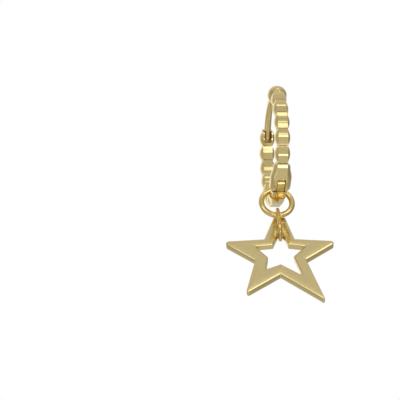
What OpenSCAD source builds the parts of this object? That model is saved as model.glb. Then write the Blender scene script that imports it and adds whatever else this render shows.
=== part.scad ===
// Hinged hoop earring of beaded gold, with an open star charm on a jump ring and a link.
// The origin is where the post passes through the ear lobe, Z is up, the front is -Y.
// The hoop lies in the plane X = 0. Lengths are in millimetres, angles in degrees.

/* [Hoop] */
// Radius of the hoop's centre line
hoop_r = 6.5; // [5.5:0.1:9]
// Angle of the hoop taken by one bead
bead_pitch = 17; // [15.5:0.25:17.5]
// Widest part of a bead, across the hoop
bead_w = 1.9; // [1.5:0.05:2.2]
// Thickest part of a bead, from the inside of the hoop to the outside
bead_t = 1.7; // [1.5:0.05:2]
// Width of a bead where it meets the next one
joint_w = 1.3; // [1.1:0.02:1.45]
// Thickness of a bead where it meets the next one
joint_t = 1.46; // [1.2:0.02:1.6]
// Diameter of the round that takes the corners off a bead
bead_round_d = 2.12; // [1.95:0.01:2.3]
// Angle of the fine groove between two beads
groove_angle = 0.4; // [0.2:0.1:0.8]
// Diameter of the wire inside the beads, seen only in the grooves
core_d = 1.22; // [1:0.02:1.28]
// Beads on the front arm, from its round end down to the fork
front_beads = 5; // [4:1:6]
// Beads on the back arm, from the hinge up to the catch
back_beads = 7; // [5:1:7]
// Hoop angle at which the front arm's last bead ends and its round end begins
front_top_angle = 152; // [150:0.5:154]
// Diameter of the front arm's round end, from which the post comes
round_end_d = 2.34; // [2:0.02:2.4]

/* [Post and catch] */
// Diameter of the post where it leaves the front arm
post_d = 0.66; // [0.6:0.02:0.8]
// Diameter of the post's thicker snap end
post_end_d = 0.86; // [0.8:0.02:0.9]
// Hoop angle at which the post ends, inside the catch
post_end_angle = 49; // [47:0.5:52]
// Room between the post and the sides of the catch
catch_clearance = 0.06; // [0.04:0.01:0.1]
// Thickness of the catch behind the post
catch_wall = 0.34; // [0.25:0.01:0.4]

/* [Hinge] */
// Hoop angle of the hinge pin
pivot_angle = 264.6; // [262:0.2:266]
// Widest part of the fork
fork_w = 2.6; // [2.4:0.02:2.8]
// Width of the fork's neck, just below the last bead
neck_w = 2.08; // [1.9:0.02:2.2]
// Width of the slot between the two cheeks of the fork
slot_w = 1; // [0.9:0.02:1.1]
// Distance from the pin to the bottom of the slot
slot_reach = 1.2; // [1.1:0.01:1.4]
// Room between the moving faces of the hinge
hinge_clearance = 0.07; // [0.05:0.01:0.1]
// Width of the back arm's shoulder, just past the hinge
shoulder_w = 1.9; // [1.7:0.02:2.1]
// Diameter of the hinge pin
pin_d = 0.5; // [0.4:0.02:0.6]

/* [Jump ring] */
// Diameter of the jump ring's centre line
ring_d = 3.74; // [3.6:0.02:4.2]
// Diameter of the jump ring's wire
ring_wire_d = 0.7; // [0.6:0.02:0.8]
// Lean of the ring from plumb, its foot towards the back
ring_lean = 4.6; // [0:0.2:8]
// Room between the ring and the groove of the hoop that it hangs in
ring_seat = 0.08; // [0.05:0.01:0.15]

/* [Link] */
// Diameter of the link's wire
link_wire_d = 0.48; // [0.44:0.02:0.56]
// Width of the room inside the link, from front to back
link_gap_w = 1.96; // [1.9:0.02:2.2]
// Room between the link and what it holds
link_seat = 0.05; // [0.03:0.01:0.06]

/* [Star] */
// Reach of the star's longest arm, from the star's middle to the point that its edges aim at
star_reach = 9.9; // [9:0.05:11]
// Thickness of the star
star_t = 0.9; // [0.8:0.01:1]
// Lean of the star from plumb, its foot towards the front, at which it hangs in balance
star_lean = 7.2; // [5:0.1:9]
// Turn of the star in its own plane as it hangs in the link, clockwise if negative
star_turn = -6; // [-8:0.1:0]
// Turn of the link and star about the plumb line, the star's right arms to the front if negative
charm_turn = -7; // [-9:0.5:0]
// Room between the star's face and the ring's wire
star_seat = 0.16; // [0.12:0.01:0.2]
// Radius of the star's two side points
side_tip_r = 0.36; // [0.26:0.02:0.4]
// Radius of the lower left point
low_tip_r = 0.24; // [0.14:0.02:0.3]
// Radius of the lower right point, the sharpest one
long_tip_r = 0.14; // [0.1:0.02:0.2]
// Radius of the two corners of the star's blunt top, which the link passes over
top_tip_r = 0.26; // [0.2:0.02:0.34]
// Radius in the outer corners between two arms
notch_r = 0.12; // [0.06:0.02:0.2]
// Radius in the corners of the opening
opening_corner_r = 0.1; // [0.04:0.02:0.14]
// Radius of the two small corners at the top of the opening
opening_top_r = 0.03; // [0.02:0.01:0.04]
// Width of the bright rounded edge round both faces
star_edge = 0.2; // [0.12:0.01:0.24]

/* [Hidden] */
$fn = 96;

// Hoop angles are measured in the plane X = 0, from the back (+Y) up over the top (+Z).
mount_angle = 90;
hoop_centre = [0, -hoop_r * cos(mount_angle), -hoop_r * sin(mount_angle)];
fork_angle = front_top_angle + front_beads * bead_pitch;
catch_top_angle = 59.2;
catch_angle = catch_top_angle - bead_pitch;
shoulder_angle = catch_angle + 360 - back_beads * bead_pitch;
ring_groove_angle = shoulder_angle + bead_pitch;
mm_per_degree = PI * hoop_r / 180;
bead_half = bead_pitch * mm_per_degree / 2;
far = 4 * hoop_r;

// The fork: its length along the hoop and how its width grows from the neck to the cheeks
fork_len = (pivot_angle - fork_angle) * mm_per_degree;
fork_end_r = bead_t / 2;
fork_corner = 0.6;
fork_curve_steps = 12;
neck_len = 0.5;
flare_len = 1.6;
round_end_angle = front_top_angle - 4.5;
shoulder_cut_r = fork_end_r + hinge_clearance + 0.03;
tongue_w = slot_w - 2 * hinge_clearance;
tongue_end_r = slot_reach - 2 * hinge_clearance;
cheek_w = fork_w - 0.16;
post_steps = 6;
post_overlap = 0.5;

// The star: each row is a corner of an outline as [angle, share of star_reach, radius in mm].
// The arms are unequal, and the lower right one is the longest of the four free ones.
STAR_OUTLINE = [
    [87.6, 0.757, top_tip_r],
    [97.9, 0.763, top_tip_r],
    [119.8, 0.430, notch_r],
    [155.6, 0.808, side_tip_r],
    [177.4, 0.317, notch_r],
    [232.5, 0.682, low_tip_r],
    [268.3, 0.217, notch_r],
    [309.4, 0.839, long_tip_r],
    [365.1, 0.297, notch_r],
    [386.6, 0.760, side_tip_r],
    [427.7, 0.408, notch_r]
];
STAR_OPENING = [
    [91.9, 0.5185, opening_top_r],
    [93.5, 0.519, opening_top_r],
    [111.0, 0.297, opening_corner_r],
    [141.9, 0.403, opening_corner_r],
    [157.8, 0.175, opening_corner_r],
    [216.4, 0.225, opening_corner_r],
    [264.0, 0.051, opening_corner_r],
    [316.9, 0.345, opening_corner_r],
    [388.2, 0.164, opening_corner_r],
    [401.3, 0.374, opening_corner_r],
    [434.5, 0.291, opening_corner_r]
];
// Where the two upper walls of the opening would meet, as [angle, share of star_reach]
OPENING_APEX = [92.7, 0.539];
arc_steps = 5;
// Radius left where a rounded corner is moved in by more than its own radius
sharp_r = 0.01;

// Places in the plane X = 0 are [y, z], measured from the middle of the hoop.
function polar(a, r) = [r * cos(a), r * sin(a)];
function turned(p, a) = [p.x * cos(a) - p.y * sin(a), p.x * sin(a) + p.y * cos(a)];

// The ring hangs with its top wire in the groove and its foot below.
ring_r = ring_d / 2;
ring_down = polar(-90 + ring_lean, 1);
ring_top = polar(ring_groove_angle, hoop_r - joint_t / 2 - ring_wire_d / 2 - ring_seat);
ring_middle = ring_top + ring_r * ring_down;
ring_foot = ring_middle + ring_r * ring_down;

// The star's frame starts at the middle of the ring's lowest wire: w points back, v up the star.
star_front = ring_wire_d / 2 + star_seat;
star_back = star_front + star_t;

// The link is a slim loop round the ring's wire and the star's top arm.
link_r = (link_gap_w + link_wire_d) / 2;
link_hold = link_gap_w / 2 - ring_wire_d / 2 - link_seat;
link_w_least = star_back + link_seat - link_gap_w / 2;
link_w = (link_w_least + link_hold) / 2;
link_top_v = -sqrt(link_hold * link_hold - link_w * link_w);

// The link's wire rests in the top corner of the opening, between the corner's two walls.
opening_half_angle = 19.5;
opening_tilt = 2.2;
link_room = (link_wire_d / 2 + link_seat) / sin(opening_half_angle) + 0.03;
opening_top = polar(OPENING_APEX[0], OPENING_APEX[1] * star_reach);
link_rest = opening_top + polar(-90 + opening_tilt, link_room);
// The star's blunt top ends under the link's upper bend, at the height that leaves the seat free there.
// Its back edge is cut away by star_edge, so the top itself may stand that much higher.
star_top = link_top_v + sqrt(pow(link_gap_w / 2, 2) - pow(star_back - link_w, 2)) - link_seat + star_edge;
star_zero_v = star_top - corner_point(STAR_OUTLINE[1]).y;
link_at_back = sqrt(link_r * link_r - (star_back - link_w) * (star_back - link_w));
link_foot_v = star_zero_v + link_rest.y + link_at_back;
link_bend_steps = 16;
link_wire_sides = 16;

// A corner rounded to an arc, with its points in order.
function unit(v) = v / norm(v);
function corner_arc(before, at, after, r) =
    let (
        to_before = unit(before - at),
        to_after = unit(after - at),
        half = acos(to_before * to_after) / 2,
        middle = at + unit(to_before + to_after) * r / sin(half),
        start = at + to_before * r / tan(half),
        end = at + to_after * r / tan(half),
        a0 = atan2(start.y - middle.y, start.x - middle.x),
        turn_raw = atan2(end.y - middle.y, end.x - middle.x) - a0,
        turn = turn_raw > 180 ? turn_raw - 360 : turn_raw < -180 ? turn_raw + 360 : turn_raw
    )
    [for (i = [0 : arc_steps]) middle + polar(a0 + turn * i / arc_steps, r)];

// The star is turned about the place where the link's wire rests, which is at X = 0.
function corner_point(row) =
    turned(polar(row[0], row[1] * star_reach) - link_rest, star_turn) + [0, link_rest.y];

// Each corner of a closed outline moved square to its edges, to the outline's left if d > 0.
function left_of(v) = [-v.y, v.x];
function moved(points, d) =
    let (n = len(points))
    [for (i = [0 : n - 1])
        let (
            n0 = left_of(unit(points[i] - points[(i + n - 1) % n])),
            n1 = left_of(unit(points[(i + 1) % n] - points[i])),
            m = unit(n0 + n1)
        )
        points[i] + m * d / (m * n0)];

// The rounded outline of a table of corners, moved by d. Radii grow or shrink with it.
function outline(rows, d = 0) =
    let (n = len(rows), corners = moved([for (row = rows) corner_point(row)], d))
    [for (i = [0 : n - 1])
        let (
            before = corners[(i + n - 1) % n],
            at = corners[i],
            after = corners[(i + 1) % n],
            bend = sign(cross(at - before, after - at))
        )
        each corner_arc(before, at, after, max(rows[i][2] - bend * d, sharp_r))];

// Shapes that repeat

// Turns a shape drawn in the XY plane into the hoop's plane, about the hoop's middle.
module in_hoop_plane() {
    translate(hoop_centre) rotate([90, 0, 90]) children();
}

// Puts a shape at a hoop angle: its X points out of the hoop, its Y along it.
module on_hoop(a) {
    in_hoop_plane() rotate(a) translate([hoop_r, 0, 0]) children();
}

// A pie slice of the hoop's plane, drawn at the hoop's middle.
module slice(a0, a1) {
    mid = (a0 + a1) / 2;
    polygon([[0, 0], polar(a0, far), polar(mid, far), polar(a1, far)]);
}

// A band round the hoop with a given section.
module band(a0, a1) {
    in_hoop_plane() rotate(a0) rotate_extrude(angle = a1 - a0) translate([hoop_r, 0]) children();
}

// A shape that is thick in the middle and thin at both ends, across X, as long as one bead.
module lens(thick, thin) {
    sag = (thick - thin) / 2;
    r = (bead_half * bead_half + sag * sag) / (2 * sag);
    intersection() {
        translate([thick / 2 - r, 0]) circle(r);
        translate([r - thick / 2, 0]) circle(r);
    }
}

// One bead: a short drum that lies across the hoop, with domed sides and flat inner and outer bands.
module bead(a) {
    half_angle = (bead_pitch - groove_angle) / 2;
    intersection() {
        on_hoop(a) linear_extrude(2 * bead_w, center = true) lens(bead_t, joint_t);
        on_hoop(a) rotate([0, 90, 0]) linear_extrude(2 * bead_t, center = true) lens(bead_w, joint_w);
        on_hoop(a) rotate([90, 0, 0]) cylinder(d = bead_round_d, h = 2 * bead_pitch, center = true);
        in_hoop_plane() linear_extrude(2 * bead_w, center = true)
            slice(a - half_angle, a + half_angle);
    }
}

module beads(start, count) {
    for (i = [0 : count - 1]) bead(start + (i + 0.5) * bead_pitch);
}

// The sub-parts

// Front arm: five beads, a round end, the fork of the hinge and the post, cast in one.
module front_arm() {
    color("#D9BC6B") {
        beads(front_top_angle, front_beads);
        band(round_end_angle, fork_angle + 1) circle(d = core_d);
        on_hoop(round_end_angle) sphere(d = round_end_d);
        fork();
        post();
    }
}

// The fork seen from the front: a neck that widens into two cheeks with round ends.
module fork_face() {
    function eased(t) = let (u = min(max(t, 0), 1)) u * u * (3 - 2 * u);
    function half_w(s) = joint_w / 2 + (neck_w - joint_w) / 2 * eased(s / neck_len)
        + (fork_w - neck_w) / 2 * eased((s - neck_len) / flare_len);
    side = [for (i = [0 : fork_curve_steps])
        let (s = fork_len * 0.8 * i / fork_curve_steps) [half_w(s), s]];
    end_s = fork_len + fork_end_r;
    round_end = [for (i = [0 : fork_curve_steps])
        let (a = 90 * i / fork_curve_steps)
        [fork_w / 2 - fork_corner * (1 - cos(a)), end_s - fork_corner + fork_corner * sin(a)]];
    right = concat(side, round_end);
    last = len(right) - 1;
    polygon(concat(right, [for (i = [0 : last]) [-right[last - i][0], right[last - i][1]]]));
}

module fork() {
    mid_angle = (fork_angle + pivot_angle) / 2;
    difference() {
        intersection() {
            union() {
                band(fork_angle + groove_angle / 2, pivot_angle)
                    square([bead_t, 2 * fork_w], center = true);
                on_hoop(pivot_angle) cylinder(r = fork_end_r, h = 2 * fork_w, center = true);
            }
            on_hoop(mid_angle) rotate([0, 90, 0]) linear_extrude(4 * bead_t, center = true)
                translate([0, -fork_len / 2]) fork_face();
        }
        on_hoop(pivot_angle) translate([-far / 2, -slot_reach, -slot_w / 2])
            cube([far, far, slot_w]);
        on_hoop(pivot_angle) cylinder(d = pin_d, h = 2 * fork_w, center = true);
    }
}

// The post: the ear wire, which thickens a little at a time towards the end that snaps in.
module post() {
    span = round_end_angle - post_end_angle;
    for (i = [0 : post_steps - 1]) {
        a1 = round_end_angle - span * i / post_steps;
        a0 = a1 - span / post_steps - (i < post_steps - 1 ? post_overlap : 0);
        grown = (post_end_d - post_d) * i / (post_steps - 1);
        band(a0, a1) circle(d = post_d + grown);
    }
}

// Hinge pin: a plain rivet through both cheeks and the tongue, flush with the fork's sides.
module hinge_pin() {
    color("#CDAE5C")
        on_hoop(pivot_angle) cylinder(d = pin_d - 0.04, h = cheek_w, center = true);
}

// Back arm: the tongue and shoulder of the hinge, six beads and the catch, cast in one.
// The shoulder runs smoothly into the far half of a seventh bead, behind which the ring hangs.
module back_arm() {
    color("#D2B464")
    difference() {
        union() {
            tongue();
            shoulder();
            beads(shoulder_angle, back_beads);
            band(shoulder_angle - 1, catch_angle + 361) circle(d = core_d);
            catch();
        }
        on_hoop(pivot_angle) cylinder(d = pin_d + 0.06, h = 2 * fork_w, center = true);
    }
}

module tongue() {
    intersection() {
        band(pivot_angle - 2 * bead_pitch, shoulder_angle - 2)
            square([bead_t - 0.1, tongue_w], center = true);
        union() {
            on_hoop(pivot_angle) cylinder(r = tongue_end_r, h = fork_w, center = true);
            on_hoop(pivot_angle) translate([-far / 2, 0, -fork_w / 2]) cube([far, far, fork_w]);
        }
    }
}

module shoulder() {
    difference() {
        band(pivot_angle, shoulder_angle + bead_pitch / 2 - 2.5)
            intersection() {
                square([bead_t, shoulder_w], center = true);
                circle(d = bead_round_d + 0.1);
            }
        on_hoop(pivot_angle) cylinder(r = shoulder_cut_r, h = 2 * fork_w, center = true);
    }
}

// The catch: the last bead, open at its top and inside, so that the post drops between two horns.
module catch() {
    slot = post_end_d + 2 * catch_clearance;
    difference() {
        bead(catch_angle + bead_pitch / 2);
        in_hoop_plane() linear_extrude(slot, center = true)
            intersection() {
                circle(r = hoop_r + bead_t / 2 - catch_wall);
                slice(post_end_angle - 2.5, catch_top_angle + bead_pitch);
            }
    }
}

// Jump ring: a closed round ring that hangs in a groove of the back arm.
module jump_ring() {
    color("#DDBB62")
        translate(hoop_centre + [0, ring_middle.x, ring_middle.y])
            rotate([ring_lean, 0, 0]) rotate([90, 0, 0])
                rotate_extrude() translate([ring_r, 0]) circle(d = ring_wire_d);
}

// Puts the link or the star at the ring's lowest wire, turned about the plumb line.
module hung_charm() {
    translate(hoop_centre + [0, ring_foot.x, ring_foot.y]) rotate(charm_turn) children();
}

// Link: a long round-ended loop seen edge-on from the front. Its wire is swept round its middle line.
module link() {
    top = [for (i = [0 : link_bend_steps]) let (a = 180 * i / link_bend_steps)
        [[link_w, link_top_v] + polar(a, link_r), a]];
    foot = [for (i = [0 : link_bend_steps]) let (a = 180 + 180 * i / link_bend_steps)
        [[link_w, link_foot_v] + polar(a, link_r), a]];
    path = concat(top, foot);
    count = len(path);
    points = [for (stop = path) each [for (k = [0 : link_wire_sides - 1])
        let (
            round = 360 * k / link_wire_sides,
            out = link_wire_d / 2 * cos(round)
        )
        [stop[0].x + out * cos(stop[1]), stop[0].y + out * sin(stop[1]), link_wire_d / 2 * sin(round)]]];
    faces = [for (i = [0 : count - 1]) each [for (k = [0 : link_wire_sides - 1])
        let (a = i * link_wire_sides, b = ((i + 1) % count) * link_wire_sides, j = (k + 1) % link_wire_sides)
        [a + k, a + j, b + j, b + k]]];
    color("#D8A94E")
        hung_charm() rotate([90, 0, 90]) rotate(-star_lean) polyhedron(points, faces, convexity = 4);
}

// Star: a flat plate with unequal arms, an opening of the same form and bevelled edges.
module star() {
    h = star_t / 2;
    e = star_edge;
    half_e = e * 0.3;
    // Rings of points from the front of the opening, out over the front face, and back again
    rings = [
        [outline(STAR_OPENING), -h + e],
        [outline(STAR_OPENING, -half_e), -h + half_e],
        [outline(STAR_OPENING, -e), -h],
        [outline(STAR_OUTLINE, e), -h],
        [outline(STAR_OUTLINE, half_e), -h + half_e],
        [outline(STAR_OUTLINE), -h + e],
        [outline(STAR_OUTLINE), h - e],
        [outline(STAR_OUTLINE, half_e), h - half_e],
        [outline(STAR_OUTLINE, e), h],
        [outline(STAR_OPENING, -e), h],
        [outline(STAR_OPENING, -half_e), h - half_e],
        [outline(STAR_OPENING), h - e]
    ];
    count = len(rings);
    n = len(rings[0][0]);
    points = [for (ring = rings) each [for (p = ring[0]) [p.x, ring[1], p.y]]];
    faces = [for (k = [0 : count - 1]) each [for (i = [0 : n - 1])
        let (a = k * n, b = ((k + 1) % count) * n, j = (i + 1) % n)
        [a + i, a + j, b + j, b + i]]];
    place = turned([(star_front + star_back) / 2, star_zero_v], -star_lean);
    color("#DCC277")
        hung_charm() translate([0, place.x, place.y]) rotate([-star_lean, 0, 0])
            polyhedron(points, faces, convexity = 6);
}

front_arm();
hinge_pin();
back_arm();
jump_ring();
link();
star();
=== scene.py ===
# %% [markdown]
# # A hinged hoop earring with a star charm
#
# The earring is a small hoop of cast gold beads that opens at a hinge, and an open star that hangs
# from it on a jump ring and a slim link. The hoop, ring, link and star are measured already, in a
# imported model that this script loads. What is left is to give each piece the crisp edges, the soft
# domes and the polish of real jewellery, and to light it as a photographer would.

# %% The measured model
import math

import bpy
from mathutils import Matrix, Vector


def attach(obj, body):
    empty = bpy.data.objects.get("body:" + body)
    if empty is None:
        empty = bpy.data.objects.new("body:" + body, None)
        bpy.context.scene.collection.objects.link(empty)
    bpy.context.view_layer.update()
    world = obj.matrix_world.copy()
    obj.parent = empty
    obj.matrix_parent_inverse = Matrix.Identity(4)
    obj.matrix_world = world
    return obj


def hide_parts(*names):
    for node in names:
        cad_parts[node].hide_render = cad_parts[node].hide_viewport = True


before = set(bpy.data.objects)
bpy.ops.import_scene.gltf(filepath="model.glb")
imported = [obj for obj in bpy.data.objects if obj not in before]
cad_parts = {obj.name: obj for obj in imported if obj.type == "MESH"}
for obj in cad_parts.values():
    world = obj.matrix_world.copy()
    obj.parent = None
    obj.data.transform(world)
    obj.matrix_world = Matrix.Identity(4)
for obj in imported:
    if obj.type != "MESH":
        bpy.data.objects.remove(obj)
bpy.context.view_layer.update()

# %% [markdown]
# ## The line that everything follows
#
# The hoop is a circle, and both of its arms are laid out along it. Jewellery is drawn in
# millimetres and Blender counts in metres, so every length below is in millimetres and is scaled
# once, where a mesh is made. Angles round the hoop run in its own plane: 0 points to the back, 90
# is the top, where the ear sits, and 180 is the front. Angles keep the beads evenly spaced, and
# lengths draw each bead's own form.

# %% The hoop's line
MM = 0.001
HOOP_R = 6.5
HOOP_MIDDLE = Vector((0.0, 0.0, -HOOP_R))
PITCH = 17.0  # degrees from one joint between beads to the next
DEG_TO_MM = math.pi * HOOP_R / 180
print("a bead takes up", PITCH, "degrees, or", round(PITCH * DEG_TO_MM, 2), "mm of the hoop")

# %% [markdown]
# ## The camera comes first
#
# The photograph looks at the star from 45 degrees and at the hoop almost edge-on. The earring hangs
# here, so the same view of it is a camera below and in front that looks up. A camera can be aimed
# with a Track To constraint, but three named angles are easier to correct one at a time. A long lens
# at a quarter of a metre keeps the flat perspective of a product shot.

# %% Camera
CAMERA_RISE, CAMERA_SIDE, CAMERA_ROLL = 39.5, 8.0, -4.95
CAMERA_AWAY, CAMERA_AIM = 240.0, Vector((0.0, 0.0, -13.0))
CAMERA_SHIFT_X, CAMERA_SHIFT_Y = -9.53, -1.48
LENS, FILM_W, NEAREST_SEEN = 180.0, 36.0, 10.0


def place_camera():
    """Looks along three angles, and slides sideways to keep the earring's place in the frame."""
    rise, side, roll = (math.radians(v) for v in (CAMERA_RISE, CAMERA_SIDE, CAMERA_ROLL))
    forward = Vector((math.sin(side) * math.cos(rise), math.cos(side) * math.cos(rise),
                      math.sin(rise)))
    level = forward.cross(Vector((0, 0, 1))).normalized()
    upright = level.cross(forward)
    right = math.cos(roll) * level + math.sin(roll) * upright
    up = -math.sin(roll) * level + math.cos(roll) * upright
    place = CAMERA_AIM + right * CAMERA_SHIFT_X + up * CAMERA_SHIFT_Y - forward * CAMERA_AWAY
    data = bpy.data.cameras.new("camera")
    data.lens, data.sensor_width, data.clip_start = LENS, FILM_W, NEAREST_SEEN * MM
    camera = bpy.data.objects.new("camera", data)
    bpy.context.scene.collection.objects.link(camera)
    turn = Matrix((right, up, -forward)).transposed().to_4x4()
    camera.matrix_world = Matrix.Translation(place * MM) @ turn
    return camera


camera = place_camera()
bpy.context.scene.camera = camera
print("camera at", [round(v, 4) for v in camera.matrix_world.translation], "m")

# %% [markdown]
# ## Sections, set square to the hoop
#
# A section is what a saw would show if it cut the piece straight across. It is drawn flat, as pairs
# of numbers: how far across the hoop, and how far out from its line. The helpers below set such a
# section square to the hoop at any angle. A curve object with a bevel shape can do the same, but it
# keeps one section all along, and every section of a bead is different.

# %% Points and sections
def on_hoop(angle, across, out):
    """A point at a hoop angle, so far across the hoop and so far out from its centre line."""
    a = math.radians(angle)
    r = HOOP_R + out
    return HOOP_MIDDLE + Vector((across, r * math.cos(a), r * math.sin(a)))


def ring_at(angle, section):
    """A flat section as a ring of points at a hoop angle."""
    return [on_hoop(angle, x, y) for x, y in section]


def circle(radius, sides):
    """A round section."""
    return [(radius * math.cos(2 * math.pi * i / sides),
             radius * math.sin(2 * math.pi * i / sides)) for i in range(sides)]


def wire_ring(centre, out, side, radius, sides):
    """A round section anywhere: out and side are the two directions square to the wire."""
    return [centre + radius * (x * out + y * side) for x, y in circle(1, sides)]


for name, angle in (("back", 0), ("top", 90), ("front", 180)):
    print("the hoop's", name, "is at", [round(v, 2) for v in on_hoop(angle, 0, 0)], "mm")

# %% [markdown]
# ## Lofting: one ring of points after another
#
# Every bead, cheek and wire is a loft: a closed ring of points, a little changed at each station,
# joined to the next one with quads. It could be cut from blocks with booleans, but a loft keeps the
# points in tidy rows, so the polish reflects without ripples. The Bevel modifier then breaks every
# sharp edge by a few hundredths of a millimetre, as a polishing wheel does.

# %% Meshes from points
def mesh_object(name, points, faces):
    """An object of points in millimetres, which is where they turn into metres."""
    mesh = bpy.data.meshes.new(name)
    mesh.from_pydata([p * MM for p in points], [], faces)
    mesh.validate()
    mesh.update()
    obj = bpy.data.objects.new(name, mesh)
    bpy.context.scene.collection.objects.link(obj)
    print(name, "has", len(mesh.polygons), "faces")
    return obj


# %% Lofts
SHARP_EDGE, BEVEL_SEGMENTS = 28.0, 3


class Loft:
    """Gathers lofted solids, so that one cast piece is one mesh."""

    def __init__(self):
        self.points, self.faces = [], []

    def add(self, rings, ends="strips", closed=False):
        """Joins the rings. ends closes the first and the last: strips across, flat, or none."""
        first, n = len(self.points), len(rings[0])
        for ring in rings:
            self.points.extend(ring)
        count = len(rings)
        for k in range(count if closed else count - 1):
            a, b = first + k * n, first + ((k + 1) % count) * n
            for i in range(n):
                j = (i + 1) % n
                self.faces.append((a + i, a + j, b + j, b + i))
        for k, flip in ((0, True), (count - 1, False)):
            at = first + k * n
            if ends == "flat":
                caps = [tuple(at + i for i in range(n))]
            elif ends == "strips":
                caps = [(at + i, at + i + 1, at + n - 2 - i, at + n - 1 - i)
                        for i in range(n // 2 - 1)]
            else:
                caps = []
            self.faces.extend(tuple(reversed(cap)) if flip else cap for cap in caps)

    def make_piece(self, name, edge):
        """The finished piece, its sharp edges broken by a bevel of this width in mm."""
        obj = mesh_object(name, self.points, self.faces)
        for face in obj.data.polygons:
            face.use_smooth = True
        if edge:
            bevel = obj.modifiers.new("broken edges", "BEVEL")
            bevel.width, bevel.segments = edge * MM, BEVEL_SEGMENTS
            bevel.limit_method, bevel.angle_limit = "ANGLE", math.radians(SHARP_EDGE)
            bevel.harden_normals = True
        return obj


print("edges over", SHARP_EDGE, "degrees get a bevel of", BEVEL_SEGMENTS, "segments")

# %% [markdown]
# ## The beads
#
# A bead is a short drum that lies across the hoop: a flat band runs over it from joint to joint,
# arched along the hoop, and a D-shaped dome closes it on both sides. The band keeps one width, so
# the dome is widest in the middle of the bead and nearly gone at the joints. That makes the bright
# bar on every band and the dark D beside it. A squashed sphere would have no band. Drawn section by
# section, the bead needs only its width and thickness at each place along the hoop.

# %% Bead section
BEAD_W, BEAD_T = 1.9, 1.7  # across the hoop and through it, in the middle of a bead
JOINT_W, JOINT_T = 1.3, 1.46  # the same at a joint
BAND_W, LEAST_DOME = 1.16, 0.03  # across the flat band, and the dome that is left at a joint
CREST = 0.34  # half the length of the rounded crest that runs across the band
BEAD_HALF = PITCH * DEG_TO_MM / 2
SIDE_STEPS = 12


def side_points(half_w, half_t, half_band):
    """The right side of a section: one arc, from the band's outer edge to its inner edge."""
    deep = half_w - half_band
    r = (half_t ** 2 + deep ** 2) / (2 * deep)
    half_angle = math.asin(min(half_t / r, 1.0))
    if deep > half_t:
        half_angle = math.pi - half_angle
    points = []
    for i in range(SIDE_STEPS + 1):
        a = half_angle * (1 - 2 * i / SIDE_STEPS)
        points.append((half_w - r + r * math.cos(a), r * math.sin(a)))
    return points


def mirrored(right):
    """A whole section from its right side."""
    return right + [(-x, y) for x, y in reversed(right)]


def arched(full, thin, s, half):
    """Half a width that is full at s = 0 and thin at the ends, on one arc."""
    sag = (full - thin) / 2
    r = (half ** 2 + sag ** 2) / (2 * sag)
    return full / 2 - r + math.sqrt(r * r - s * s)


def crested(full, thin, s, half):
    """Half a thickness with two nearly flat slopes that meet in a narrow rounded crest."""
    slope = (full - thin) / 2 / (half - CREST / 2)
    rise = slope * (CREST / 2)
    if abs(s) < CREST:
        return full / 2 - rise * (s / CREST) ** 2
    return full / 2 - rise - slope * (abs(s) - CREST)


def bead_section(s):
    """A bead's section, so far along from its middle."""
    half_t = crested(BEAD_T, JOINT_T, s, BEAD_HALF)
    half_w = arched(BEAD_W, JOINT_W, s, BEAD_HALF)
    return mirrored(side_points(half_w, half_t, min(BAND_W / 2, half_w - LEAST_DOME)))


print("a bead's section has", len(bead_section(0)), "points")

# %% [markdown]
# ## Rows of beads on a core
#
# The arms are cast, so the beads aren't threaded: they grow out of one core, which shows only as
# the floor of the fine grooves between them. The grooves could be dark lines in the material, but a
# real groove gathers its own shadow from every side. Here it is a fifth of a degree wider than in
# the measured solids, and the core a little thinner, so that it reads as a fine dark line.

# %% Beads and core
GROOVE = 0.6
CORE_D = 1.1
BEAD_STATIONS = 20
CORE_SIDES, CORE_STEP, CORE_BURIED = 20, 3, 1  # the last two are in degrees


def add_bead(loft, middle):
    """One bead about a hoop angle, with half a groove left free at each end."""
    half = (PITCH - GROOVE) / 2
    rings = []
    for k in range(BEAD_STATIONS + 1):
        a = half * (2 * k / BEAD_STATIONS - 1)
        rings.append(ring_at(middle + a, bead_section(a * DEG_TO_MM)))
    loft.add(rings)


def add_core(loft, start, end):
    """The core between two hoop angles."""
    stations = int((end - start) / CORE_STEP)
    loft.add([ring_at(start + (end - start) * k / stations, circle(CORE_D / 2, CORE_SIDES))
              for k in range(stations + 1)], ends="flat")


print("a groove is", round(GROOVE * DEG_TO_MM, 3), "mm wide and",
      round((JOINT_T - CORE_D) / 2, 2), "mm deep")

# %% [markdown]
# ## The fork of the hinge
#
# Below its fifth bead the front arm widens into two cheeks that hold the tongue of the back arm. A
# slot could be cut into one solid with a boolean, but that leaves ragged faces round the cut. So
# the neck is one loft, and each cheek is another one that takes over where the slot begins, with
# the same outside, so that they meet without a line.

# %% Fork sizes
FRONT_TOP, FRONT_BEADS = 152.0, 5
PIVOT = 264.6  # the hoop angle of the rivet
SLOT_W, SLOT_REACH = 1.0, 1.2
NECK_W, NECK_LEN = 2.08, 0.5
FORK_W, FLARE_LEN, FORK_CORNER = 2.6, 1.6, 0.6
FORK_FILLS, FORK_BAND, FORK_LIP = 0.8, 0.62, 0.04  # where it is full, half its band, its thin end

FORK_START = FRONT_TOP + FRONT_BEADS * PITCH
FORK_LEN = (PIVOT - FORK_START) * DEG_TO_MM
FORK_END = FORK_LEN + BEAD_T / 2
SLOT_START = FORK_LEN - SLOT_REACH


def smooth_step(t):
    """0 to 1 with a soft start and end."""
    t = min(max(t, 0.0), 1.0)
    return t * t * (3 - 2 * t)


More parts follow.
